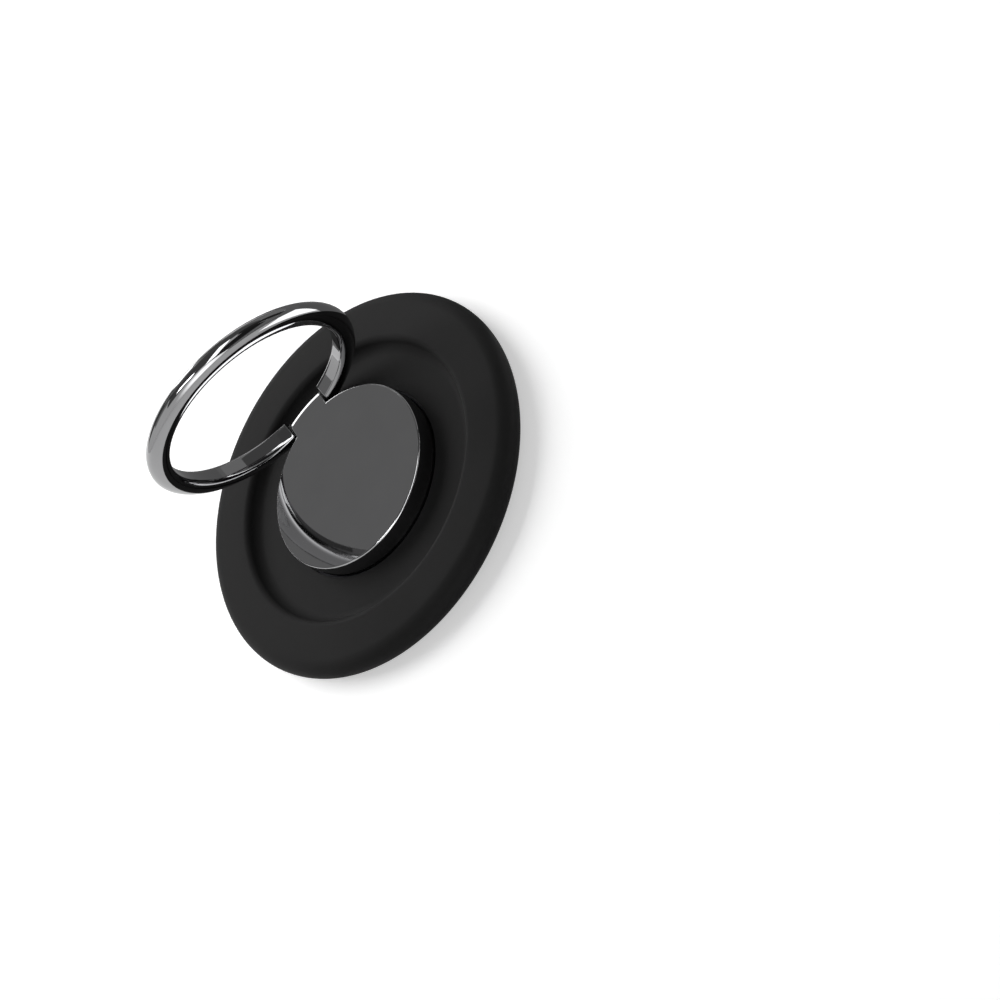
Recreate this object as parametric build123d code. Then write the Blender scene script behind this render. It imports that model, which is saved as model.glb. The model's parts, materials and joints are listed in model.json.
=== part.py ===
"""Magnetic finger ring grip: a silicone disc with a swivelling hub and a fold-up ring.

Frame: millimetres, origin at the centre of the back face, +Z out of the back towards the hub,
+X along the ring's hinge pin, +Y from the centre towards the hinge.
"""

import os
from math import asin, cos, pi, sin, sqrt

from build123d import *

# Silicone disc
disc_radius = 32.0
disc_thickness = 4.8
top_rise = 0.2
lip_round = 1.2
cover_wall = 4.0
cover_skin = 0.8
cover_fit = 0.05

# Back pad and plate
pad_thickness = 0.5
pad_edge = 0.15
plate_thickness = 0.4

# Carrier
web_thickness = 1.4
rim_wall = 0.45
tray_wall = 0.4
tray_roof = 0.35
hat_wall = 1.2
boss_wall = 2.5

# Magnet array
magnet_count = 16
magnet_width = 3.6
magnet_height = 1.7
magnet_gap = 0.3
magnet_room = 0.05
yoke_thickness = 0.4

# Hub
recess_width = 8.0
hub_rim_chamfer = 0.2
hub_wall = 1.4
face_thickness = 1.5
hub_gap = 0.3
hub_lift = 0.1
stem_radius = 3.5
stem_clearance = 0.05
stem_tip_room = 0.15

# Swivel bush
bush_wall = 1.0
flange_width = 2.0
flange_thickness = 0.5
thrust_clearance = 0.05

# Spring washer and retaining clip under the carrier
spring_height = 0.45
spring_strip = 0.2
spring_width = 2.6
spring_waves = 3
spring_room = 0.05
clip_thickness = 0.45
clip_width = 2.2
clip_fit = 0.02
clip_groove_depth = 0.4
clip_mouth = 4.4
clip_room = 0.8

# Finger ring
ring_gap = 0.95
ring_floor_gap = 0.25
ring_width = 3.5
ring_proud = 0.25
ring_thickness = 3.48
ring_inner_round = 0.95
ring_end_round = 0.15
ring_raise = 70.6
swing_clearance = 0.25

# Hinge
lug_width = 7.5
lug_clearance = 0.35
lug_setback = 0.25
lug_edge_round = 0.2
pin_radius = 0.75
pin_clearance = 0.03
pin_hold = 1.5
pin_end_room = 0.1
pin_chamfer = 0.1
washer_thickness = 0.25
washer_band = 0.55
washer_clearance = 0.05

# Radii, from the rim inwards
edge_radius = disc_thickness / 2
carrier_radius = disc_radius - cover_wall
trough_outer_radius = carrier_radius - rim_wall
magnet_outer_radius = trough_outer_radius - magnet_room
magnet_inner_radius = magnet_outer_radius - magnet_width
trough_inner_radius = magnet_inner_radius - magnet_room
tray_inner_radius = trough_inner_radius - tray_wall
recess_radius = tray_inner_radius - cover_fit
hub_radius = recess_radius - recess_width
hollow_radius = hub_radius - hub_wall
cover_hole_radius = hub_radius + hub_gap
ring_inner_radius = hub_radius + ring_gap
ring_outer_radius = ring_inner_radius + ring_thickness

# Radii, from the swivel axis outwards
groove_radius = stem_radius - clip_groove_depth
clip_inner_radius = groove_radius + clip_fit
clip_outer_radius = clip_inner_radius + clip_width
bush_inner_radius = stem_radius + stem_clearance
bush_outer_radius = bush_inner_radius + bush_wall
flange_radius = bush_outer_radius + flange_width
boss_radius = bush_outer_radius + boss_wall
spring_inner_radius = bush_inner_radius + spring_room
spring_outer_radius = spring_inner_radius + spring_width
clip_room_radius = spring_outer_radius + clip_room
hat_radius = max(clip_room_radius, boss_radius) + hat_wall

# Heights above the back face
plate_top = pad_thickness + plate_thickness
web_top = plate_top + web_thickness
recess_floor = web_top + cover_skin
lip_height = disc_thickness + top_rise
ring_bottom = recess_floor + ring_floor_gap
hub_face = ring_bottom + ring_width - ring_proud
hub_roof = hub_face - face_thickness
hub_bottom = web_top + hub_lift
magnet_bottom = plate_top + magnet_room
yoke_bottom = magnet_bottom + magnet_height
yoke_top = yoke_bottom + yoke_thickness
tray_top = yoke_top + tray_roof
stem_bottom = plate_top + stem_tip_room
clip_bottom = stem_bottom + stem_tip_room
clip_top = clip_bottom + clip_thickness
spring_bottom = clip_top + spring_room
clip_room_top = spring_bottom + spring_height + spring_room
hat_top = clip_room_top + hat_wall
flange_top = hub_roof - thrust_clearance
boss_top = flange_top - flange_thickness

# Hinge: the axis lies where the ring's ends clear the recess floor as the ring swings
washer_start = lug_width / 2 + washer_clearance
ring_end = washer_start + washer_thickness + washer_clearance
pin_half_length = ring_end + pin_hold
hinge_height = ring_bottom + ring_width / 2
end_swing = hinge_height - recess_floor - swing_clearance
hinge_reach = sqrt(ring_outer_radius**2 - ring_end**2) - end_swing
lug_bottom = recess_floor + lug_clearance
nose_radius = (hub_face - lug_bottom) / 2
nose_centre = hinge_reach - lug_setback
hinge_axis = Axis((0, hinge_reach, hinge_height), (1, 0, 0))


def washer(inner, outer, bottom, top):
    """A flat ring about Z between two radii and two heights."""
    return Pos(0, 0, bottom) * extrude(Circle(outer) - Circle(inner), top - bottom)


def turned(outline):
    """A solid turned about Z from a closed outline of radius and height points."""
    points = [(radius, 0, height) for radius, height in outline]
    return revolve(make_face(Polyline(*points, close=True)), Axis.Z)


def bullet_section(inner, round_centre, bottom, top):
    """Outline of a band about Z: square on the inside, a half round on the outside."""
    middle = (bottom + top) / 2
    tip = round_centre + (top - bottom) / 2
    crown = ThreePointArc((round_centre, 0, bottom), (tip, 0, middle), (round_centre, 0, top))
    sides = Polyline((round_centre, 0, top), (inner, 0, top), (inner, 0, bottom), (round_centre, 0, bottom))
    return make_face([crown, sides])


def along_hinge(radius, length, centre):
    """A rod on the hinge axis, centred at a distance along it."""
    return Pos(centre, hinge_reach, hinge_height) * Rot(0, 90, 0) * Cylinder(radius, length)


def silicone_cover():
    """Soft disc: round outer edge, faintly domed top, recess for the ring, pocket for the carrier."""
    edge_centre = disc_radius - edge_radius
    wall_radius = lip_height - recess_floor
    wall_centre = recess_radius - wall_radius
    wall_bend = wall_radius * sin(pi / 4)
    # The dome is level at the recess lip and runs tangent into the round edge.
    span = edge_centre - recess_radius
    rise = lip_height - edge_radius
    dome_radius = (span**2 + rise**2 - edge_radius**2) / (2 * top_rise)
    lean = asin(span / (dome_radius - edge_radius))

    def edge_point(angle):
        return (edge_centre + edge_radius * sin(angle), 0, edge_radius * (1 + cos(angle)))

    def dome_point(angle):
        return (recess_radius + dome_radius * sin(angle), 0, lip_height - dome_radius * (1 - cos(angle)))

    lip = (recess_radius, 0, lip_height)
    wall_foot = (wall_centre, 0, recess_floor)
    wall_middle = (wall_centre + wall_bend, 0, lip_height - wall_bend)
    underside = [
        edge_point(pi),
        (carrier_radius + cover_fit, 0, 0),
        (carrier_radius + cover_fit, 0, tray_top + cover_fit),
        (recess_radius, 0, tray_top + cover_fit),
        (recess_radius, 0, web_top),
        (cover_hole_radius, 0, web_top),
        (cover_hole_radius, 0, recess_floor),
        wall_foot,
    ]
    section = make_face(
        [
            ThreePointArc(wall_foot, wall_middle, lip),
            ThreePointArc(lip, dome_point(lean / 2), edge_point(lean)),
            ThreePointArc(edge_point(lean), edge_point((lean + pi) / 2), edge_point(pi)),
            Polyline(*underside),
        ]
    )
    lip_corner = section.vertices().sort_by_distance(lip)[0]
    return revolve(fillet(lip_corner, lip_round), Axis.Z)


def back_pad():
    """Soft disc that meets the surface behind, with a small chamfer round its edge."""
    pad = extrude(Circle(carrier_radius), pad_thickness)
    return chamfer(pad.edges().group_by(Axis.Z)[0], pad_edge)


def back_plate():
    """Thin plate that closes the carrier."""
    return Pos(0, 0, pad_thickness) * extrude(Circle(carrier_radius), plate_thickness)


def carrier():
    """Moulded frame: magnet trough at the rim, flat web, and a raised hat with the swivel bore."""
    outline = [
        (bush_outer_radius, boss_top),
        (boss_radius, boss_top),
        (boss_radius, hat_top),
        (hat_radius, hat_top),
        (hat_radius, web_top),
        (tray_inner_radius, web_top),
        (tray_inner_radius, tray_top),
        (carrier_radius, tray_top),
        (carrier_radius, plate_top),
        (trough_outer_radius, plate_top),
        (trough_outer_radius, yoke_top),
        (trough_inner_radius, yoke_top),
        (trough_inner_radius, plate_top),
        (clip_room_radius, plate_top),
        (clip_room_radius, clip_room_top),
        (bush_outer_radius, clip_room_top),
    ]
    return turned(outline)


def yoke_ring():
    """Steel ring that backs the magnets."""
    return washer(magnet_inner_radius, magnet_outer_radius, yoke_bottom, yoke_top)


def magnet(index):
    """One arc of the magnet array, with a parallel gap to each neighbour."""
    step = 360 / magnet_count
    reach = 2 * magnet_outer_radius
    half_space = Box(reach, reach, reach, align=(Align.CENTER, Align.MIN, Align.CENTER))
    ahead = Pos(0, magnet_gap / 2, 0) * half_space
    behind = Rot(0, 0, step) * mirror(ahead, Plane.XZ)
    arc = washer(magnet_inner_radius, magnet_outer_radius, magnet_bottom, yoke_bottom) & ahead & behind
    return Rot(0, 0, index * step) * arc


def swivel_bush():
    """Flanged bush, pressed into the carrier, that the hub's stem turns in."""
    outline = [
        (bush_inner_radius, clip_room_top),
        (bush_outer_radius, clip_room_top),
        (bush_outer_radius, boss_top),
        (flange_radius, boss_top),
        (flange_radius, flange_top),
        (bush_inner_radius, flange_top),
    ]
    return turned(outline)


def spring_washer():
    """Wave washer that presses the hub down on the bush flange."""
    swing = (spring_height - spring_strip) / 2
    points_per_wave = 8
    count = spring_waves * points_per_wave

    def wave(radius):
        turns = [2 * pi * index / count for index in range(count)]
        level = spring_bottom + swing
        return Spline(
            [(radius * cos(a), radius * sin(a), level + swing * cos(spring_waves * a)) for a in turns],
            periodic=True,
        )

    strip = Face.make_surface_from_curves(wave(spring_inner_radius), wave(spring_outer_radius))
    return extrude(strip, spring_strip, dir=(0, 0, 1))


def retaining_clip():
    """Open ring snapped into the stem's groove."""
    ring = washer(clip_inner_radius, clip_outer_radius, clip_bottom, clip_top)
    upright = (Align.CENTER, Align.MAX, Align.CENTER)
    return ring - Box(clip_mouth, clip_outer_radius, disc_thickness, align=upright)


def hub():
    """Turret: flat face, skirt, grooved stem, and a round-nosed lug that carries the hinge pin."""
    groove_bottom = clip_bottom - clip_fit
    groove_top = clip_top + clip_fit
    outline = [
        (0, hub_face),
        (hub_radius - hub_rim_chamfer, hub_face),
        (hub_radius, hub_face - hub_rim_chamfer),
        (hub_radius, hub_bottom),
        (hollow_radius, hub_bottom),
        (hollow_radius, hub_roof),
        (stem_radius, hub_roof),
        (stem_radius, groove_top),
        (groove_radius, groove_top),
        (groove_radius, groove_bottom),
        (stem_radius, groove_bottom),
        (stem_radius, stem_bottom),
        (0, stem_bottom),
    ]
    pin_bore = along_hinge(pin_radius + pin_clearance, 2 * pin_half_length, 0)
    return turned(outline) + hinge_lug() - pin_bore


def hinge_lug():
    """Short piece of round-nosed band that fills the gap between the ring's ends."""
    root = hub_radius - hub_wall / 2
    band = revolve(bullet_section(root, nose_centre, lug_bottom, hub_face), Axis.Z)
    length = 2 * hinge_reach
    lug = band & Box(lug_width, length, length, align=(Align.CENTER, Align.MIN, Align.CENTER))
    side_edges = [edge for face in lug.faces().filter_by(Axis.X) for edge in face.outer_wire().edges()]
    outer_edges = [edge for edge in side_edges if edge.center().Y > hub_radius - hub_wall / 2]
    return fillet(outer_edges, lug_edge_round)


def hinge_pin():
    """Steel pin through the lug into both ends of the ring."""
    pin = along_hinge(pin_radius, 2 * pin_half_length, 0)
    return chamfer(pin.edges().filter_by(GeomType.CIRCLE), pin_chamfer)


def hinge_washer(side):
    """Thin friction washer between the lug and one end of the ring."""
    bore = pin_radius + pin_clearance
    centre = side * (washer_start + washer_thickness / 2)
    disc = along_hinge(bore + washer_band, washer_thickness, centre)
    return disc - along_hinge(bore, lug_width, centre)


def ring_section():
    """Outline of the ring as it lies folded: a flat inside, soft corners, half an ellipse outside."""
    half_width = ring_width / 2
    half_flat = half_width - ring_inner_round
    shoulder = ring_inner_radius + ring_inner_round
    bend = ring_inner_round * sin(pi / 4)

    def corner(side):
        return ThreePointArc(
            (shoulder, side * half_width),
            (shoulder - bend, side * (half_flat + bend)),
            (ring_inner_radius, side * half_flat),
        )

    depth = ring_outer_radius - shoulder
    crown = EllipticalCenterArc((shoulder, 0), depth, half_width, start_angle=-90, arc_size=180)
    inside = Line((ring_inner_radius, half_flat), (ring_inner_radius, -half_flat))
    return Pos(0, 0, hinge_height) * (Plane.XZ * make_face([crown, corner(1), inside, corner(-1)]))


def finger_ring():
    """Open loop with square-cut ends and a blind pin hole in each end."""
    loop = revolve(ring_section(), Axis.Z)
    length = 2 * ring_outer_radius
    loop -= Box(2 * ring_end, length, length, align=(Align.CENTER, Align.MIN, Align.CENTER))
    ends = loop.faces().filter_by(Axis.X)
    loop = fillet([edge for face in ends for edge in face.edges()], ring_end_round)
    hole_reach = 2 * (pin_half_length + pin_end_room)
    loop -= along_hinge(pin_radius + pin_clearance, hole_reach, 0)
    return loop.rotate(hinge_axis, -ring_raise)


def build_nodes():
    """Every piece of the grip by name."""
    nodes = {
        "silicone_cover": silicone_cover(),
        "back_pad": back_pad(),
        "back_plate": back_plate(),
        "carrier": carrier(),
        "yoke_ring": yoke_ring(),
        "swivel_bush": swivel_bush(),
        "spring_washer": spring_washer(),
        "retaining_clip": retaining_clip(),
        "hub": hub(),
        "hinge_pin": hinge_pin(),
        "hinge_washer_left": hinge_washer(-1),
        "hinge_washer_right": hinge_washer(1),
        "finger_ring": finger_ring(),
    }
    for index in range(magnet_count):
        nodes[f"magnet_{index + 1:02d}"] = magnet(index)
    return nodes


os.makedirs("parts", exist_ok=True)
for name, solid in build_nodes().items():
    export_step(solid, f"parts/{name}.step")
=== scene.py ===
"""Looks of a magnetic finger ring grip: silicone disc, polished swivel hub and fold-up ring."""

import json
from math import asin, cos, pi, radians, sin, sqrt

import bmesh
import bpy
from bpy.props import FloatProperty, FloatVectorProperty, IntProperty, PointerProperty
from mathutils import Matrix, Vector


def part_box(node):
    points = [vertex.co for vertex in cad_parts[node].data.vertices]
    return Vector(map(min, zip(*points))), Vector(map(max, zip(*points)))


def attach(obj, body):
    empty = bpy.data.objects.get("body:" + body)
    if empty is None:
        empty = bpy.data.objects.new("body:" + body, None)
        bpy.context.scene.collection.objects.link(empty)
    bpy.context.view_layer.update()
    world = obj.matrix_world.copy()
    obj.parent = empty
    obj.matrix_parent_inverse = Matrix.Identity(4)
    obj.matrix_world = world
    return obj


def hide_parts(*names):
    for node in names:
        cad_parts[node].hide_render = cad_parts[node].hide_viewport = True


bl_info = {
    "name": "Finger Ring Grip",
    "version": (1, 0, 0),
    "blender": (4, 5, 0),
    "location": "View3D > Sidebar > Ring Grip",
    "description": "Makes the pieces, finishes and stage of a magnetic finger ring grip",
    "category": "Add Mesh",
}

SHARP_ANGLE = radians(30)
EASED_ANGLE = radians(50)
WELD_GAP = 1e-6
GRAIN_DEPTH = 0.0001
MATTE_SPECULAR = 0.03
ROD_STEPS = 48
SENSOR_WIDTH = 36
FLOOR_REACH = 2.5
FLOOR_DROP = 0.0002
FLOOR_CARD_LIFT = 0.0005

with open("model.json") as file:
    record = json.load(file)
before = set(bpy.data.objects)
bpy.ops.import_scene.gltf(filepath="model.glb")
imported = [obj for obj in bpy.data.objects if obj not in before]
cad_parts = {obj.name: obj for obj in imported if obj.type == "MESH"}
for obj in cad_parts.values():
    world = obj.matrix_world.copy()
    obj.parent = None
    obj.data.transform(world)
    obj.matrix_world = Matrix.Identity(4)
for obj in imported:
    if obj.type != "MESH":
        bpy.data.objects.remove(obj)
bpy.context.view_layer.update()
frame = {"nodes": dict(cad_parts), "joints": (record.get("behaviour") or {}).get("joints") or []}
cover_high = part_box("silicone_cover")[1]
pad_low, pad_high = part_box("back_pad")
hub_low, hub_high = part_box("hub")
ring_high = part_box("finger_ring")[1]
pin_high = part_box("hinge_pin")[1]
ring_fold = next(joint for joint in frame["joints"] if joint["name"] == "ring_fold")
hinge = Vector(ring_fold["pos_m"])
ring_raise = radians(-ring_fold["range_deg"][0])


def length(name, description, default):
    """A property for a length in metres."""
    return FloatProperty(
        name=name, description=description, default=default, min=0, unit="LENGTH", precision=5
    )


def angle(name, description, default):
    """A property for an angle, with its default in degrees."""
    return FloatProperty(name=name, description=description, default=radians(default), unit="ROTATION")


def colour(name, description, default):
    """A property for a linear colour."""
    return FloatVectorProperty(
        name=name, description=description, default=default, size=4, min=0, max=1, subtype="COLOR"
    )


def offset(name, description, default):
    """A property for a distance in metres, to either side."""
    return FloatProperty(name=name, description=description, default=default, unit="LENGTH", precision=5)


def amount(name, description, default):
    """A property for a share or a strength."""
    return FloatProperty(name=name, description=description, default=default, min=0)


class GripSizes(bpy.types.PropertyGroup):
    """Sizes of the pieces made here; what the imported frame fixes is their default."""

    disc_radius: length("Disc radius", "Outer radius of the silicone disc", cover_high.x)
    lip_height: length("Lip height", "Top of the disc at the lip of its recess", cover_high.z)
    edge_round: length("Edge round", "Radius of the disc's round outer edge", 0.0024)
    lip_round: length("Lip round", "Radius on the lip of the recess", 0.0012)
    recess_radius: length("Recess radius", "Radius of the recess at its lip", 0.0234)
    recess_floor: length("Recess floor", "Height of the recess floor", 0.0031)
    pocket_radius: length("Pocket radius", "Radius of the pocket that holds the carrier", 0.02805)
    pocket_roof: length("Pocket roof", "Height of the pocket's roof over the magnets", 0.00345)
    web_top: length("Web top", "Height at which the disc's floor lies on the carrier", 0.0023)
    hole_radius: length("Hole radius", "Radius of the hole round the hub", 0.0157)
    pad_round: length("Pad round", "Radius on the edge of the back pad", 0.00015)
    hub_radius: length("Hub radius", "Radius of the hub", hub_high.x)
    hub_face: length("Hub face", "Height of the hub's face", hub_high.z)
    hub_round: length("Hub round", "Radius round the hub's face", 0.0003)
    hub_bottom: length("Hub bottom", "Lower edge of the hub's skirt", 0.0024)
    hub_wall: length("Hub wall", "Thickness of the hub's skirt", 0.0014)
    hub_roof: length("Hub roof", "Underside of the hub's face", 0.0051)
    stem_radius: length("Stem radius", "Radius of the swivel stem", 0.0035)
    groove_depth: length("Groove depth", "Depth of the stem's clip groove", 0.0004)
    groove_bottom: length("Groove bottom", "Lower side of the clip groove", 0.00118)
    groove_top: length("Groove top", "Upper side of the clip groove", 0.00167)
    lug_width: length("Lug width", "Width of the hinge lug", 0.0075)
    lug_bottom: length("Lug bottom", "Underside of the hinge lug", 0.00345)
    lug_edge: length("Lug edge", "Radius on the lug's side edges", 0.0002)
    ring_radius: length("Ring radius", "Outer radius of the finger ring", ring_high.x)
    ring_width: length("Ring width", "Width of the ring's section along its axis", 0.0035)
    ring_thickness: length("Ring thickness", "Depth of the ring's section", 0.00348)
    ring_inner_round: length("Ring inner round", "Radius on the ring's inner corners", 0.00095)
    ring_end: length("Ring end", "Distance of each ring end from the middle", 0.0041)
    ring_end_round: length("Ring end round", "Radius on the edges of the ring's ends", 0.00015)
    bore_radius: length("Bore radius", "Radius of the hinge pin's bore", 0.00078)
    bore_reach: length("Bore reach", "Depth of the pin's bore from the middle", pin_high.x + 0.0001)
    turn_steps: IntProperty(
        name="Turn steps", description="Steps round a turned piece", default=256, min=16
    )


class GripColours(bpy.types.PropertyGroup):
    """Colours of the finishes."""

    silicone: colour("Silicone", "Moulded silicone", (0.0285, 0.0282, 0.0284, 1))
    pad: colour("Back pad", "Tacky pad on the back", (0.03, 0.03, 0.031, 1))
    # Painted light: the hub is set lighter than the ring, though both are likely the same plating, so the
    # ring's reflection in the hub comes out brighter
    hub: colour("Hub", "Polished gunmetal of the hub", (0.36, 0.36, 0.365, 1))
    ring: colour("Ring", "Polished gunmetal of the ring", (0.27, 0.27, 0.274, 1))
    steel: colour("Steel", "Pin, clip, spring and plates", (0.55, 0.55, 0.56, 1))
    nickel: colour("Nickel", "Plating on the magnets", (0.62, 0.6, 0.56, 1))
    plastic: colour("Carrier", "Moulded carrier", (0.05, 0.05, 0.052, 1))
    nylon: colour("Nylon", "Bush and hinge washers", (0.09, 0.09, 0.09, 1))


class GripStage(bpy.types.PropertyGroup):
    """Camera, floor and lights."""

    azimuth: angle("Azimuth", "Camera's direction round the grip", 22.05)
    elevation: angle("Elevation", "Camera's height above the floor", 40.76)
    roll: angle("Roll", "Camera's turn about its own line of sight", -64.62)
    distance: length("Distance", "Camera's distance from the middle of the back", 0.9)
    lens: FloatProperty(
        name="Lens", description="Focal length on a 36 mm sensor", default=205.6, unit="CAMERA"
    )
    aim_right: offset("Aim right", "Aim point's offset right", 0.0196)
    aim_up: offset("Aim up", "Aim point's offset upwards", -0.00169)
    floor_tone: colour("Floor", "Colour of the floor", (0.86, 0.86, 0.86, 1))
    floor_glow: amount("Floor glow", "Share of the floor's white that needs no lamp", 0.5)
    sky: amount("Sky", "Strength of the even light all round", 0.16)


def arc(centre, radius, start, end, steps):
    """Points of an arc in radius and height, angles from straight outwards towards straight up."""
    across, up = centre
    turns = [start + (end - start) * index / steps for index in range(steps + 1)]
    return [(across + radius * cos(turn), up + radius * sin(turn)) for turn in turns]


def crossing(first, first_radius, second, second_radius):
    """The outer of the two points where a circle crosses one whose centre is below it."""
    apart = Vector(second) - Vector(first)
    along = (apart.length_squared + first_radius**2 - second_radius**2) / (2 * apart.length)
    across = sqrt(first_radius**2 - along**2)
    down = apart.normalized()
    point = Vector(first) + down * along + Vector((-down.y, down.x)) * across
    return (point.x, point.y)


def turned(outline, steps, capped=False):
    """A bmesh turned about Z from an outline: a closed loop, or a run capped flat at both ends."""
    bm = bmesh.new()
    turns = [2 * pi * index / steps for index in range(steps)]
    rings = []
    for radius, up in outline:
        rings.append([bm.verts.new((radius * cos(turn), radius * sin(turn), up)) for turn in turns])
    followers = rings[1:] if capped else rings[1:] + rings[:1]
    for near, far in zip(rings, followers):
        for index in range(steps):
            after = (index + 1) % steps
            bm.faces.new((near[index], near[after], far[after], far[index]))
    if capped:
        bm.faces.new(rings[0])
        bm.faces.new(rings[-1])
    bmesh.ops.recalc_face_normals(bm, faces=bm.faces)
    return bm


def to_mesh(bm, name):
    """A smooth-shaded mesh from a bmesh, with its corners kept sharp."""
    mesh = bpy.data.meshes.new(name)
    bm.to_mesh(mesh)
    bm.free()
    shade(mesh)
    return mesh


def shade(mesh):
    """Smooth shading that breaks at corners."""
    mesh.polygons.foreach_set("use_smooth", [True] * len(mesh.polygons))
    mesh.set_sharp_from_angle(angle=SHARP_ANGLE)


def place(name, mesh):
    """An object for a mesh, in the scene."""
    piece = bpy.data.objects.new(name, mesh)
    bpy.context.scene.collection.objects.link(piece)
    return piece


def settle(piece):
    """Turns a piece with its modifiers into a plain mesh."""
    bpy.context.view_layer.update()
    evaluated = piece.evaluated_get(bpy.context.evaluated_depsgraph_get())
    mesh = bpy.data.meshes.new_from_object(evaluated)
    mesh.name = piece.name
    piece.modifiers.clear()
    piece.data = mesh


def level_faces(piece):
    """Shade a polished piece smooth, with its wide faces level up to their edges."""
    shade(piece.data)
    weigh = piece.modifiers.new("level_faces", "WEIGHTED_NORMAL")
    weigh.keep_sharp = True
    settle(piece)


def cut(piece, tool, operation):
    """Joins a tool to a piece or cuts it away, and clears the tool."""
    modifier = piece.modifiers.new(operation.lower(), "BOOLEAN")
    modifier.operation = operation
    modifier.solver = "EXACT"
    modifier.object = tool
    settle(piece)
    bpy.data.objects.remove(tool)


def ease_edges(piece, width, segments):
    """Rounds the corners of a piece."""
    bevel = piece.modifiers.new("ease", "BEVEL")
    bevel.width = width
    bevel.segments = segments
    bevel.limit_method = "ANGLE"
    bevel.angle_limit = EASED_ANGLE
    settle(piece)


def hinge_rod(radius, half_length):
    """A rod on the hinge's axis, as a cutting tool."""
    bm = bmesh.new()
    turn = Matrix.Translation(hinge) @ Matrix.Rotation(pi / 2, 4, "Y")
    bmesh.ops.create_cone(
        bm,
        cap_ends=True,
        segments=ROD_STEPS,
        radius1=radius,
        radius2=radius,
        depth=2 * half_length,
        matrix=turn,
    )
    return place("hinge_rod", to_mesh(bm, "hinge_rod"))


def finish_piece(piece, body, node, material):
    """Gives a piece its finish and its body, and lets it stand for its node."""
    piece.data.materials.clear()
    piece.data.materials.append(material)
    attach(piece, body)
    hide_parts(node)


def node_at(tree, kind, **settings):
    """A new node with some of its settings set."""
    node = tree.nodes.new(kind)
    for key, value in settings.items():
        setattr(node, key, value)
    return node


def group_of(name, inputs, outputs):
    """A new shader group with float inputs, a vector input and float outputs."""
    group = bpy.data.node_groups.new(name, "ShaderNodeTree")
    group.interface.new_socket("Vector", in_out="INPUT", socket_type="NodeSocketVector")
    for title, default in inputs.items():
        socket = group.interface.new_socket(title, in_out="INPUT", socket_type="NodeSocketFloat")
        socket.default_value = default
    for title in outputs:
        group.interface.new_socket(title, in_out="OUTPUT", socket_type="NodeSocketFloat")
    return group, group.nodes.new("NodeGroupInput"), group.nodes.new("NodeGroupOutput")


def moulded_grain():
    """Group: the fine even grain of a moulding, and its slow cloudy tone."""
    found = bpy.data.node_groups.get("moulded_grain")
    if found:
        return found
    group, source, sink = group_of("moulded_grain", {"Grain": 2500, "Cloud": 120}, ("Height", "Tone"))
    grain = node_at(group, "ShaderNodeTexNoise")
    grain.inputs["Detail"].default_value = 3
    cloud = node_at(group, "ShaderNodeTexNoise")
    cloud.inputs["Detail"].default_value = 5
    cloud.inputs["Roughness"].default_value = 0.6
    for texture, size in ((grain, "Grain"), (cloud, "Cloud")):
        group.links.new(source.outputs["Vector"], texture.inputs["Vector"])
        group.links.new(source.outputs[size], texture.inputs["Scale"])
    group.links.new(grain.outputs["Fac"], sink.inputs["Height"])
    group.links.new(cloud.outputs["Fac"], sink.inputs["Tone"])
    return group


def polish_haze():
    """Group: the faint haze and hairlines that a buffing wheel leaves on metal."""
    found = bpy.data.node_groups.get("polish_haze")
    if found:
        return found
    scales = {"Haze Scale": 150, "Hairline Scale": 900}
    group, source, sink = group_of("polish_haze", scales, ("Haze", "Hairline"))
    haze = node_at(group, "ShaderNodeTexNoise")
    haze.inputs["Detail"].default_value = 6
    stretch = node_at(group, "ShaderNodeMapping")
    stretch.inputs["Scale"].default_value = (1, 14, 14)
    stretch.inputs["Rotation"].default_value = (0.3, 0.2, 0.9)
    hairline = node_at(group, "ShaderNodeTexNoise")
    hairline.inputs["Detail"].default_value = 2
    ridge = node_at(group, "ShaderNodeMapRange")
    ridge.inputs["From Min"].default_value = 0.62
    ridge.inputs["From Max"].default_value = 0.74
    link = group.links.new
    link(source.outputs["Vector"], haze.inputs["Vector"])
    link(source.outputs["Haze Scale"], haze.inputs["Scale"])
    link(source.outputs["Vector"], stretch.inputs["Vector"])
    link(stretch.outputs["Vector"], hairline.inputs["Vector"])
    link(source.outputs["Hairline Scale"], hairline.inputs["Scale"])
    link(hairline.outputs["Fac"], ridge.inputs["Value"])
    link(haze.outputs["Fac"], sink.inputs["Haze"])
    link(ridge.outputs["Result"], sink.inputs["Hairline"])
    return group


def blank_finish(name):
    """A material with an empty Principled shader, its tree and object coordinates."""
    material = bpy.data.materials.new(name)
    material.use_nodes = True
    tree = material.node_tree
    tree.nodes.clear()
    shader = tree.nodes.new("ShaderNodeBsdfPrincipled")
    output = tree.nodes.new("ShaderNodeOutputMaterial")
    tree.links.new(shader.outputs["BSDF"], output.inputs["Surface"])
    coordinates = tree.nodes.new("ShaderNodeTexCoord")
    return material, tree, shader, coordinates.outputs["Object"]


def placed_group(tree, group, vector, **values):
    """A group placed in a material with its own values."""
    node = tree.nodes.new("ShaderNodeGroup")
    node.node_tree = group
    tree.links.new(vector, node.inputs["Vector"])
    for title, value in values.items():
        node.inputs[title.replace("_", " ")].default_value = value
    return node


def toned(tree, mask, tint, spread):
    """A colour that a mask takes a little below and above a tint."""
    mix = tree.nodes.new("ShaderNodeMix")
    mix.data_type = "RGBA"
    mix.inputs["A"].default_value = [*(channel * (1 - spread) for channel in tint[:3]), 1]
    mix.inputs["B"].default_value = [*(min(1, channel * (1 + spread)) for channel in tint[:3]), 1]
    tree.links.new(mask, mix.inputs["Factor"])
    return mix.outputs["Result"]


def ranged(tree, value, low, high):
    """A noise value spread over a range."""
    spread = tree.nodes.new("ShaderNodeMapRange")
    spread.inputs["From Min"].default_value = 0.3
    spread.inputs["From Max"].default_value = 0.7
    spread.inputs["To Min"].default_value = low
    spread.inputs["To Max"].default_value = high
    tree.links.new(value, spread.inputs["Value"])
    return spread.outputs["Result"]


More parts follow.
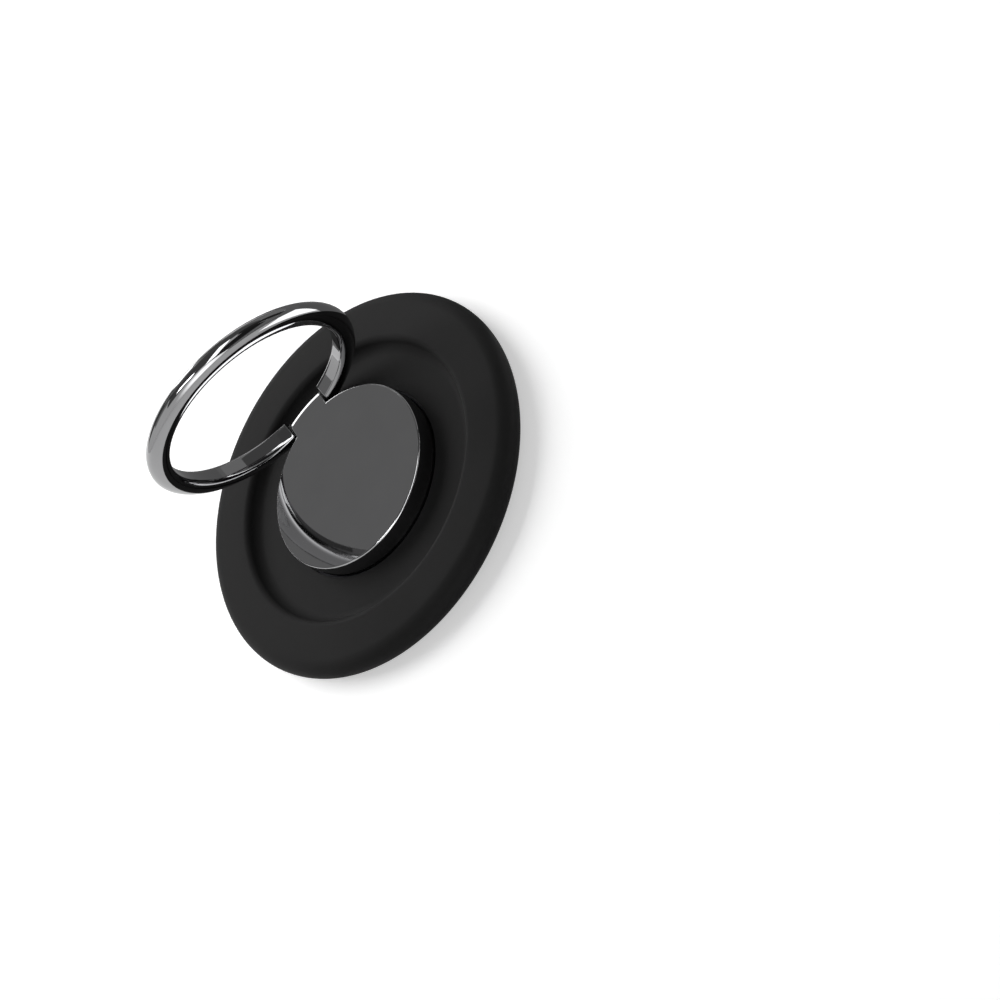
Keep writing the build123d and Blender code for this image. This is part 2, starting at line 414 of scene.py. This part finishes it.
def moulded_finish(name, tint, roughness, grain, bump, sheen=0):
    """A moulded soft or hard plastic: cloudy tone, fine grain and a soft sheen."""
    found = bpy.data.materials.get(name)
    if found:
        return found
    material, tree, shader, vector = blank_finish(name)
    texture = placed_group(tree, moulded_grain(), vector, Grain=grain)
    link = tree.links.new
    link(toned(tree, texture.outputs["Tone"], tint, spread=0.12), shader.inputs["Base Color"])
    link(ranged(tree, texture.outputs["Tone"], *roughness), shader.inputs["Roughness"])
    relief = tree.nodes.new("ShaderNodeBump")
    relief.inputs["Strength"].default_value = bump
    relief.inputs["Distance"].default_value = GRAIN_DEPTH
    link(texture.outputs["Height"], relief.inputs["Height"])
    link(relief.outputs["Normal"], shader.inputs["Normal"])
    shader.inputs["Specular IOR Level"].default_value = MATTE_SPECULAR
    shader.inputs["Sheen Weight"].default_value = sheen
    shader.inputs["Sheen Roughness"].default_value = 0.5
    return material


def polished_finish(name, tint, roughness, hairline):
    """A polished metal: slight haze in its gloss and tone, and fine hairlines."""
    found = bpy.data.materials.get(name)
    if found:
        return found
    material, tree, shader, vector = blank_finish(name)
    texture = placed_group(tree, polish_haze(), vector)
    link = tree.links.new
    link(toned(tree, texture.outputs["Haze"], tint, spread=0.05), shader.inputs["Base Color"])
    gloss = ranged(tree, texture.outputs["Haze"], *roughness)
    worn = tree.nodes.new("ShaderNodeMath")
    worn.operation = "MULTIPLY_ADD"
    worn.inputs[1].default_value = hairline
    link(texture.outputs["Hairline"], worn.inputs[0])
    link(gloss, worn.inputs[2])
    link(worn.outputs["Value"], shader.inputs["Roughness"])
    shader.inputs["Metallic"].default_value = 1
    return material


class GRIP_OT_cover(bpy.types.Operator):
    """Make the silicone disc with its round edge, domed top and recess"""

    bl_idname = "grip.cover"
    bl_label = "Silicone disc"

    def execute(self, context):
        sizes = context.scene.grip_sizes
        lip = sizes.lip_height
        wall = lip - sizes.recess_floor
        wall_centre = sizes.recess_radius - wall
        edge_centre = sizes.disc_radius - sizes.edge_round
        span = edge_centre - sizes.recess_radius
        rise = lip - sizes.edge_round
        drop = lip - 2 * sizes.edge_round
        dome = (span**2 + rise**2 - sizes.edge_round**2) / (2 * drop)
        lean = asin(span / (dome - sizes.edge_round))
        dome_centre = (sizes.recess_radius, lip - dome)
        soft = sizes.lip_round
        lip_centre = crossing((wall_centre, lip), wall + soft, dome_centre, dome - soft)
        lip_turn = asin((lip - lip_centre[1]) / (wall + soft))
        dome_start = asin((lip_centre[0] - sizes.recess_radius) / (dome - soft))
        outline = arc((wall_centre, lip), wall, -pi / 2, -lip_turn, steps=24)
        outline += arc(lip_centre, soft, pi - lip_turn, pi / 2 - dome_start, steps=12)[1:]
        outline += arc(dome_centre, dome, pi / 2 - dome_start, pi / 2 - lean, steps=16)[1:]
        edge_spot = (edge_centre, sizes.edge_round)
        outline += arc(edge_spot, sizes.edge_round, pi / 2 - lean, -pi / 2, steps=40)[1:]
        outline += [
            (sizes.pocket_radius, 0),
            (sizes.pocket_radius, sizes.pocket_roof),
            (sizes.recess_radius, sizes.pocket_roof),
            (sizes.recess_radius, sizes.web_top),
            (sizes.hole_radius, sizes.web_top),
            (sizes.hole_radius, sizes.recess_floor),
        ]
        piece = place("silicone_disc", to_mesh(turned(outline, sizes.turn_steps), "silicone_disc"))
        tint = context.scene.grip_colours.silicone
        material = moulded_finish(
            "moulded_silicone", tint, roughness=(0.5, 0.6), grain=2600, bump=0.12
        )
        finish_piece(piece, "base", "silicone_cover", material)
        return {"FINISHED"}


class GRIP_OT_back_pad(bpy.types.Operator):
    """Make the tacky pad that meets the surface behind"""

    bl_idname = "grip.back_pad"
    bl_label = "Back pad"

    def execute(self, context):
        sizes = context.scene.grip_sizes
        edge = sizes.pad_round
        radius = pad_high.x
        margin = radius - 12 * edge
        outline = [(margin, pad_high.z), (radius, pad_high.z)]
        outline += arc((radius - edge, pad_low.z + edge), edge, 0, -pi / 2, steps=8)
        outline += [(margin, pad_low.z)]
        piece = place("tacky_pad", to_mesh(turned(outline, sizes.turn_steps, capped=True), "tacky_pad"))
        tint = context.scene.grip_colours.pad
        material = moulded_finish(
            "tacky_silicone", tint, roughness=(0.35, 0.45), grain=1800, bump=0.2, sheen=0.05
        )
        finish_piece(piece, "base", "back_pad", material)
        return {"FINISHED"}


class GRIP_OT_hub(bpy.types.Operator):
    """Make the polished hub with its skirt, stem and round-nosed hinge lug"""

    bl_idname = "grip.hub"
    bl_label = "Hub"

    def execute(self, context):
        sizes = context.scene.grip_sizes
        radius = sizes.hub_radius
        hollow = radius - sizes.hub_wall
        groove = sizes.stem_radius - sizes.groove_depth
        edge = sizes.hub_round
        outline = arc((radius - edge, sizes.hub_face - edge), edge, pi / 2, 0, steps=5)
        outline += [
            (radius, sizes.hub_bottom),
            (hollow, sizes.hub_bottom),
            (hollow, sizes.hub_roof),
            (sizes.stem_radius, sizes.hub_roof),
            (sizes.stem_radius, sizes.groove_top),
            (groove, sizes.groove_top),
            (groove, sizes.groove_bottom),
            (sizes.stem_radius, sizes.groove_bottom),
            (sizes.stem_radius, hub_low.z),
        ]
        turret = turned(outline, sizes.turn_steps, capped=True)
        piece = place("hub_turret", to_mesh(turret, "hub_turret"))
        cut(piece, self.lug(sizes), "UNION")
        cut(piece, hinge_rod(sizes.bore_radius, sizes.bore_reach), "DIFFERENCE")
        level_faces(piece)
        # The hub's tint is painted light: lighter than the ring's gunmetal, so the reflections in the hub
        # come out brighter
        tint = context.scene.grip_colours.hub
        material = polished_finish("hub_gunmetal_with_painted_light", tint, roughness=(0.02, 0.05), hairline=0.02)
        finish_piece(piece, "hub", "hub", material)
        return {"FINISHED"}

    def lug(self, sizes):
        """Piece of round-nosed band that stands out of the hub between the ring's ends."""
        nose = (sizes.hub_face - sizes.lug_bottom) / 2
        root = sizes.hub_radius - sizes.hub_wall / 2
        section = [(root, sizes.lug_bottom)]
        section += arc((hub_high.y - nose, sizes.lug_bottom + nose), nose, -pi / 2, pi / 2, steps=40)
        section += [(root, sizes.hub_face)]
        bm = bmesh.new()
        rows = []
        count = 16
        for index in range(count + 1):
            across = sizes.lug_width * (index / count - 0.5)
            points = [(across, sqrt(reach**2 - across**2), up) for reach, up in section]
            rows.append([bm.verts.new(point) for point in points])
        for near, far in zip(rows, rows[1:]):
            for index in range(len(section)):
                after = (index + 1) % len(section)
                bm.faces.new((near[index], near[after], far[after], far[index]))
        bm.faces.new(rows[0])
        bm.faces.new(rows[-1])
        bmesh.ops.recalc_face_normals(bm, faces=bm.faces)
        lug = place("hinge_lug", to_mesh(bm, "hinge_lug"))
        ease_edges(lug, sizes.lug_edge, segments=4)
        return lug


class GRIP_OT_finger_ring(bpy.types.Operator):
    """Make the open finger ring by sweeping its section round a loop"""

    bl_idname = "grip.finger_ring"
    bl_label = "Finger ring"

    def execute(self, context):
        sizes = context.scene.grip_sizes
        tint = context.scene.grip_colours.ring
        material = polished_finish("ring_gunmetal", tint, roughness=(0.025, 0.06), hairline=0.03)
        piece = place("finger_loop", bpy.data.meshes.new("finger_loop"))
        modifier = piece.modifiers.new("open_loop", "NODES")
        modifier.node_group = self.open_loop()
        values = {
            "Outer Radius": sizes.ring_radius,
            "Thickness": sizes.ring_thickness,
            "Width": sizes.ring_width,
            "Inner Round": sizes.ring_inner_round,
            "End Distance": sizes.ring_end,
            "Loop Steps": 240,
            "Round Steps": 14,
            "Material": material,
        }
        for item in modifier.node_group.interface.items_tree:
            if item.in_out == "INPUT":
                modifier[item.identifier] = values[item.name]
        settle(piece)
        lay = Matrix.Translation((0, 0, hinge.z))
        swing = Matrix.Rotation(-ring_raise, 4, "X")
        turn = Matrix.Translation(hinge) @ swing @ Matrix.Translation(-hinge)
        piece.data.transform(lay)
        ease_edges(piece, sizes.ring_end_round, segments=4)
        cut(piece, hinge_rod(sizes.bore_radius, sizes.bore_reach), "DIFFERENCE")
        piece.data.transform(turn)
        level_faces(piece)
        finish_piece(piece, "ring", "finger_ring", material)
        return {"FINISHED"}

    def open_loop(self):
        """Geometry nodes: a rounded section swept round a loop that is open towards +Y."""
        tree = bpy.data.node_groups.new("open_loop", "GeometryNodeTree")
        interface = tree.interface
        interface.new_socket("Geometry", in_out="OUTPUT", socket_type="NodeSocketGeometry")
        for title in ("Outer Radius", "Thickness", "Width", "Inner Round", "End Distance"):
            socket = interface.new_socket(title, in_out="INPUT", socket_type="NodeSocketFloat")
            socket.subtype = "DISTANCE"
        for title in ("Loop Steps", "Round Steps"):
            interface.new_socket(title, in_out="INPUT", socket_type="NodeSocketInt")
        interface.new_socket("Material", in_out="INPUT", socket_type="NodeSocketMaterial")
        source = tree.nodes.new("NodeGroupInput").outputs
        sink = tree.nodes.new("NodeGroupOutput")
        link = tree.links.new

        def calc(operation, *operands):
            node = node_at(tree, "ShaderNodeMath", operation=operation)
            for socket, operand in zip(node.inputs, operands):
                if isinstance(operand, (int, float)):
                    socket.default_value = operand
                else:
                    link(operand, socket)
            return node.outputs["Value"]

        # Section: a rounded square, pulled out to half an ellipse on the outside
        half_width = calc("MULTIPLY", source["Width"], 0.5)
        crown = calc("SUBTRACT", source["Thickness"], source["Inner Round"])
        section = node_at(tree, "GeometryNodeCurvePrimitiveQuadrilateral", mode="RECTANGLE")
        link(calc("ADD", half_width, source["Inner Round"]), section.inputs["Width"])
        link(source["Width"], section.inputs["Height"])
        spot = node_at(tree, "ShaderNodeSeparateXYZ")
        link(node_at(tree, "GeometryNodeInputPosition").outputs["Position"], spot.inputs["Vector"])
        outside = calc("GREATER_THAN", spot.outputs["X"], 0)
        extra = calc("SUBTRACT", half_width, source["Inner Round"])
        radius = calc("MULTIPLY_ADD", outside, extra, source["Inner Round"])
        rounded = node_at(tree, "GeometryNodeFilletCurve", mode="POLY")
        link(section.outputs["Curve"], rounded.inputs["Curve"])
        link(source["Round Steps"], rounded.inputs["Count"])
        link(radius, rounded.inputs["Radius"])
        shoulder = calc("MULTIPLY", calc("SUBTRACT", source["Inner Round"], half_width), 0.5)
        beyond = calc("MAXIMUM", calc("SUBTRACT", spot.outputs["X"], shoulder), 0)
        pull = calc("SUBTRACT", calc("DIVIDE", crown, half_width), 1)
        centring = calc("MULTIPLY", calc("SUBTRACT", half_width, crown), 0.5)
        shift = node_at(tree, "ShaderNodeCombineXYZ")
        link(calc("MULTIPLY_ADD", beyond, pull, centring), shift.inputs["X"])
        crowned = node_at(tree, "GeometryNodeSetPosition")
        link(rounded.outputs["Curve"], crowned.inputs["Geometry"])
        link(shift.outputs["Vector"], crowned.inputs["Offset"])

        # Path: an arc through the middle of the section, from one end to the other
        half_thickness = calc("MULTIPLY", source["Thickness"], 0.5)
        path_radius = calc("SUBTRACT", source["Outer Radius"], half_thickness)
        path_end = calc("ARCSINE", calc("DIVIDE", source["End Distance"], path_radius))
        path = node_at(tree, "GeometryNodeCurveArc", mode="RADIUS")
        link(source["Loop Steps"], path.inputs["Resolution"])
        link(path_radius, path.inputs["Radius"])
        link(calc("ADD", path_end, pi / 2), path.inputs["Start Angle"])
        link(calc("SUBTRACT", 2 * pi, calc("MULTIPLY", path_end, 2)), path.inputs["Sweep Angle"])
        swept = node_at(tree, "GeometryNodeCurveToMesh")
        swept.inputs["Fill Caps"].default_value = True
        link(path.outputs["Curve"], swept.inputs["Curve"])
        link(crowned.outputs["Geometry"], swept.inputs["Profile Curve"])
        welded = node_at(tree, "GeometryNodeMergeByDistance")
        welded.inputs["Distance"].default_value = WELD_GAP
        link(swept.outputs["Mesh"], welded.inputs["Geometry"])

        # Ends: each point's turn is stretched so that both ends are cut square across
        place_now = node_at(tree, "ShaderNodeSeparateXYZ")
        link(node_at(tree, "GeometryNodeInputPosition").outputs["Position"], place_now.inputs["Vector"])
        across, along = place_now.outputs["X"], place_now.outputs["Y"]
        squares = calc("ADD", calc("MULTIPLY", across, across), calc("MULTIPLY", along, along))
        reach = calc("SQRT", squares)
        turn = calc("ARCTAN2", across, along)
        end = calc("ARCSINE", calc("DIVIDE", source["End Distance"], reach))
        stretch = calc("DIVIDE", calc("SUBTRACT", pi, end), calc("SUBTRACT", pi, path_end))
        from_back = calc("SUBTRACT", pi, calc("ABSOLUTE", turn))
        opened = calc("SUBTRACT", pi, calc("MULTIPLY", from_back, stretch))
        turned_to = calc("MULTIPLY", calc("SIGN", turn), opened)
        moved = node_at(tree, "ShaderNodeCombineXYZ")
        link(calc("MULTIPLY", reach, calc("SINE", turned_to)), moved.inputs["X"])
        link(calc("MULTIPLY", reach, calc("COSINE", turned_to)), moved.inputs["Y"])
        link(place_now.outputs["Z"], moved.inputs["Z"])
        squared = node_at(tree, "GeometryNodeSetPosition")
        link(welded.outputs["Geometry"], squared.inputs["Geometry"])
        link(moved.outputs["Vector"], squared.inputs["Position"])

        real = node_at(tree, "GeometryNodeRealizeInstances")
        coated = node_at(tree, "GeometryNodeSetMaterial")
        link(squared.outputs["Geometry"], real.inputs["Geometry"])
        link(real.outputs["Geometry"], coated.inputs["Geometry"])
        link(source["Material"], coated.inputs["Material"])
        link(coated.outputs["Geometry"], sink.inputs["Geometry"])
        return tree


class GRIP_OT_inner_parts(bpy.types.Operator):
    """Give the parts inside the grip their finishes"""

    bl_idname = "grip.inner_parts"
    bl_label = "Inner parts"

    def execute(self, context):
        colours = context.scene.grip_colours
        finishes = {
            "steel": polished_finish("bright_steel", colours.steel, roughness=(0.18, 0.3), hairline=0.1),
            "magnet_nickel": polished_finish(
                "nickel_plate", colours.nickel, roughness=(0.12, 0.25), hairline=0.08
            ),
            "carrier_plastic": moulded_finish(
                "carrier_plastic", colours.plastic, roughness=(0.4, 0.55), grain=1500, bump=0.25
            ),
            "nylon": moulded_finish("nylon", colours.nylon, roughness=(0.35, 0.45), grain=2200, bump=0.15),
        }
        slots = {
            "back_plate": "steel",
            "yoke_ring": "steel",
            "spring_washer": "steel",
            "retaining_clip": "steel",
            "hinge_pin": "steel",
            "carrier": "carrier_plastic",
            "swivel_bush": "nylon",
            "hinge_washer_left": "nylon",
            "hinge_washer_right": "nylon",
        }
        for name, node in frame["nodes"].items():
            slot = "magnet_nickel" if name.startswith("magnet_") else slots.get(name)
            if slot:
                node.material_slots[0].material = finishes[slot]
        return {"FINISHED"}


class GRIP_OT_stage(bpy.types.Operator):
    """Make the camera, floor and lights"""

    bl_idname = "grip.stage"
    bl_label = "Stage"

    def execute(self, context):
        stage = context.scene.grip_stage
        context.scene.view_settings.view_transform = "Standard"
        self.camera(context, stage)
        self.floor(stage)
        self.sky(context, stage)
        # Each one: azimuth and elevation in degrees, size in metres, brightness where white is 1
        self.softbox("main_light", (-150, 35), (0.9, 0.7), 6.2)
        self.card("key_strip", (45, 55), (1.07, 0.23), 5.0, along=(80, 60))
        self.card("back_strip", (-164.8, 11), (0.168, 0.66), 4.2, reach=0.9)
        self.card("back_flag", (-152, 19), (1.28, 0.46), 0.12)
        self.card("left_flag", (-108, 40), (0.3, 0.4), 0.35, reach=0.9)
        self.card("ceiling", (-156, 47), (0.44, 0.44), 0.245)
        self.card("wedge_flag", (-127, 38), (0.34, 0.9), 0.1)
        self.card("zenith_flag", (-20, 83), (1.4, 1.4), 0.13)
        self.card("overhead_strip", (-34, 64), (0.36, 0.16), 12, reach=0.9)
        self.card("front_spot", (-2, 15), (1.6, 1.6), 4.6, edge=1.0, reach=1.4)
        self.card("camera_flag", (46, 26), (1.43, 0.76), 0.03, reach=1.25)
        self.card("camera_low", (48, 3), (1.6, 0.45), 0.33, reach=1.3)
        self.card("right_flag", (92, 20), (0.44, 0.95), 0.045)
        self.card("side_card", (135, 6), (1.15, 0.72), 0.42)
        self.card("side_flag", (140, 45), (1.2, 0.85), 0.15)
        # On the floor: place and size in metres, brightness
        self.floor_card("low_strip", (0.073, -0.026), (0.07, 0.06), 4.0)
        self.floor_card("far_floor", (0.61, 0.05), (1.0, 1.9), 0.3)
        self.floor_card("near_floor", (0.0425, 0.125), (0.135, 0.242), 0.25)
        return {"FINISHED"}

    def camera(self, context, stage):
        """Camera at the view's angle, rolled so that the grip stands on its edge in the picture."""
        azimuth, elevation, roll = stage.azimuth, stage.elevation, stage.roll
        back = Vector((sin(azimuth) * cos(elevation), -cos(azimuth) * cos(elevation), sin(elevation)))
        level = Vector((cos(azimuth), sin(azimuth), 0))
        upright = back.cross(level)
        right = level * cos(roll) + upright * sin(roll)
        up = upright * cos(roll) - level * sin(roll)
        spot = back * stage.distance
        aim = right * stage.aim_right + up * stage.aim_up
        outwards = (spot - aim).normalized()
        right = up.cross(outwards).normalized()
        up = outwards.cross(right)
        data = bpy.data.cameras.new("view")
        data.lens = stage.lens
        data.sensor_width = SENSOR_WIDTH
        data.clip_start = 0.01
        camera = bpy.data.objects.new("view", data)
        context.scene.collection.objects.link(camera)
        turn = Matrix((right, up, outwards)).transposed().to_4x4()
        camera.matrix_world = Matrix.Translation(spot) @ turn
        context.scene.camera = camera

    def floor(self, stage):
        """Pale floor that stays white in the picture and in the metal, and keeps the grip's shadow."""
        bm = bmesh.new()
        bmesh.ops.create_grid(bm, x_segments=8, y_segments=8, size=FLOOR_REACH)
        mesh = bpy.data.meshes.new("floor")
        bm.to_mesh(mesh)
        bm.free()
        floor = place("floor", mesh)
        floor.location.z = -FLOOR_DROP
        material, tree, shader, vector = blank_finish("pale_floor")
        texture = placed_group(tree, moulded_grain(), vector, Grain=400, Cloud=20)
        tone = toned(tree, texture.outputs["Tone"], stage.floor_tone, spread=0.01)
        tree.links.new(tone, shader.inputs["Base Color"])
        shader.inputs["Roughness"].default_value = 0.8
        shader.inputs["Specular IOR Level"].default_value = 0.1
        shader.inputs["Emission Color"].default_value = (1, 1, 1, 1)
        path = tree.nodes.new("ShaderNodeLightPath")
        seen = self.seen(tree, path)
        glow = node_at(tree, "ShaderNodeMath", operation="MULTIPLY")
        glow.inputs[1].default_value = stage.floor_glow
        tree.links.new(seen, glow.inputs[0])
        tree.links.new(glow.outputs["Value"], shader.inputs["Emission Strength"])
        mesh.materials.append(material)

    def seen(self, tree, path):
        """One for rays that show a surface to the camera, straight or by way of metal and glass."""
        total = path.outputs["Is Camera Ray"]
        for title in ("Is Glossy Ray", "Is Transmission Ray"):
            node = node_at(tree, "ShaderNodeMath", operation="MAXIMUM")
            tree.links.new(total, node.inputs[0])
            tree.links.new(path.outputs[title], node.inputs[1])
            total = node.outputs["Value"]
        return total

    def sky(self, context, stage):
        """Even light all round, white where the camera sees it straight or by way of metal and glass."""
        world = bpy.data.worlds.new("studio")
        world.use_nodes = True
        tree = world.node_tree
        background = tree.nodes["Background"]
        level = tree.nodes.new("ShaderNodeMapRange")
        level.inputs["To Min"].default_value = stage.sky
        level.inputs["To Max"].default_value = 1
        tree.links.new(self.seen(tree, tree.nodes.new("ShaderNodeLightPath")), level.inputs["Value"])
        tree.links.new(level.outputs["Result"], background.inputs["Strength"])
        background.inputs["Color"].default_value = (1, 1, 1, 1)
        context.scene.world = world

    def towards(self, direction):
        """Unit vector for an azimuth and an elevation in degrees."""
        azimuth, elevation = (radians(turn) for turn in direction)
        return Vector((sin(azimuth) * cos(elevation), -cos(azimuth) * cos(elevation), sin(elevation)))

    def faced(self, direction, reach, along=None):
        """Place of a sheet that faces the grip, with its long side towards another direction."""
        facing = self.towards(direction)
        aside = self.towards(along or (direction[0] + 90, 0))
        aside = (aside - facing * facing.dot(aside)).normalized()
        turn = Matrix((aside, facing.cross(aside), facing)).transposed().to_4x4()
        return Matrix.Translation(facing * reach) @ turn

    def softbox(self, name, direction, size, brightness):
        """Wide soft lamp a metre away, aimed at the grip and kept out of the metal."""
        data = bpy.data.lights.new(name, "AREA")
        data.shape = "RECTANGLE"
        data.size, data.size_y = size
        data.energy = brightness * pi * size[0] * size[1]
        lamp = bpy.data.objects.new(name, data)
        bpy.context.scene.collection.objects.link(lamp)
        lamp.matrix_world = self.faced(direction, reach=1)
        lamp.visible_camera = False
        lamp.visible_glossy = False

    def card(self, name, direction, size, brightness, edge=None, reach=1, along=None):
        """Flag or bounce card about a metre away, seen in the metal only."""
        self.panel(name, self.faced(direction, reach, along), size, brightness, edge)

    def floor_card(self, name, spot, size, brightness):
        """Bounce card on the floor beside the grip, seen in the metal only."""
        self.panel(name, Matrix.Translation((*spot, FLOOR_CARD_LIFT)), size, brightness)

    def panel(self, name, matrix, size, brightness, edge=None):
        """Flat sheet that only reflections show, even or fading from its middle to its edge."""
        bm = bmesh.new()
        stretch = Matrix.Diagonal((*size, 1, 1))
        bmesh.ops.create_grid(bm, x_segments=1, y_segments=1, size=0.5, matrix=stretch)
        mesh = bpy.data.meshes.new(name)
        bm.to_mesh(mesh)
        bm.free()
        sheet = place(name, mesh)
        sheet.matrix_world = matrix
        material, tree, shader, vector = blank_finish(name)
        shader.inputs["Base Color"].default_value = (0, 0, 0, 1)
        shader.inputs["Specular IOR Level"].default_value = 0
        shader.inputs["Emission Color"].default_value = (1, 1, 1, 1)
        shader.inputs["Emission Strength"].default_value = brightness
        if edge is not None:
            spread = tree.nodes.new("ShaderNodeMapping")
            spread.inputs["Scale"].default_value = (2 / size[0], 2 / size[1], 1)
            tree.links.new(vector, spread.inputs["Vector"])
            fade = node_at(tree, "ShaderNodeTexGradient", gradient_type="SPHERICAL")
            tree.links.new(spread.outputs["Vector"], fade.inputs["Vector"])
            level = node_at(tree, "ShaderNodeMapRange", interpolation_type="SMOOTHSTEP")
            level.inputs["To Min"].default_value = edge
            level.inputs["To Max"].default_value = brightness
            tree.links.new(fade.outputs["Fac"], level.inputs["Value"])
            tree.links.new(level.outputs["Result"], shader.inputs["Emission Strength"])
        mesh.materials.append(material)
        sheet.visible_camera = False
        sheet.visible_diffuse = False
        sheet.visible_shadow = False


class GRIP_PT_pieces(bpy.types.Panel):
    """Buttons that make the grip's pieces, and the values they use"""

    bl_idname = "GRIP_PT_pieces"
    bl_label = "Ring Grip"
    bl_space_type = "VIEW_3D"
    bl_region_type = "UI"
    bl_category = "Ring Grip"

    def draw(self, context):
        for operator in OPERATORS:
            self.layout.operator(operator.bl_idname)
        for group in (context.scene.grip_sizes, context.scene.grip_colours, context.scene.grip_stage):
            box = self.layout.box()
            for title in group.__annotations__:
                box.prop(group, title)


GROUPS = (GripSizes, GripColours, GripStage)
OPERATORS = (
    GRIP_OT_cover,
    GRIP_OT_back_pad,
    GRIP_OT_hub,
    GRIP_OT_finger_ring,
    GRIP_OT_inner_parts,
    GRIP_OT_stage,
)
CLASSES = (*GROUPS, *OPERATORS, GRIP_PT_pieces)


def register():
    """Adds the classes and the scene's values."""
    for cls in CLASSES:
        bpy.utils.register_class(cls)
    bpy.types.Scene.grip_sizes = PointerProperty(type=GripSizes)
    bpy.types.Scene.grip_colours = PointerProperty(type=GripColours)
    bpy.types.Scene.grip_stage = PointerProperty(type=GripStage)


def unregister():
    """Takes the classes and the scene's values away."""
    del bpy.types.Scene.grip_stage
    del bpy.types.Scene.grip_colours
    del bpy.types.Scene.grip_sizes
    for cls in reversed(CLASSES):
        bpy.utils.unregister_class(cls)


def main():
    """Adds the scene's values, then makes every piece and the stage."""
    register()
    bpy.ops.grip.cover()
    bpy.ops.grip.back_pad()
    bpy.ops.grip.hub()
    bpy.ops.grip.finger_ring()
    bpy.ops.grip.inner_parts()
    bpy.ops.grip.stage()


if __name__ == "__main__":
    main()
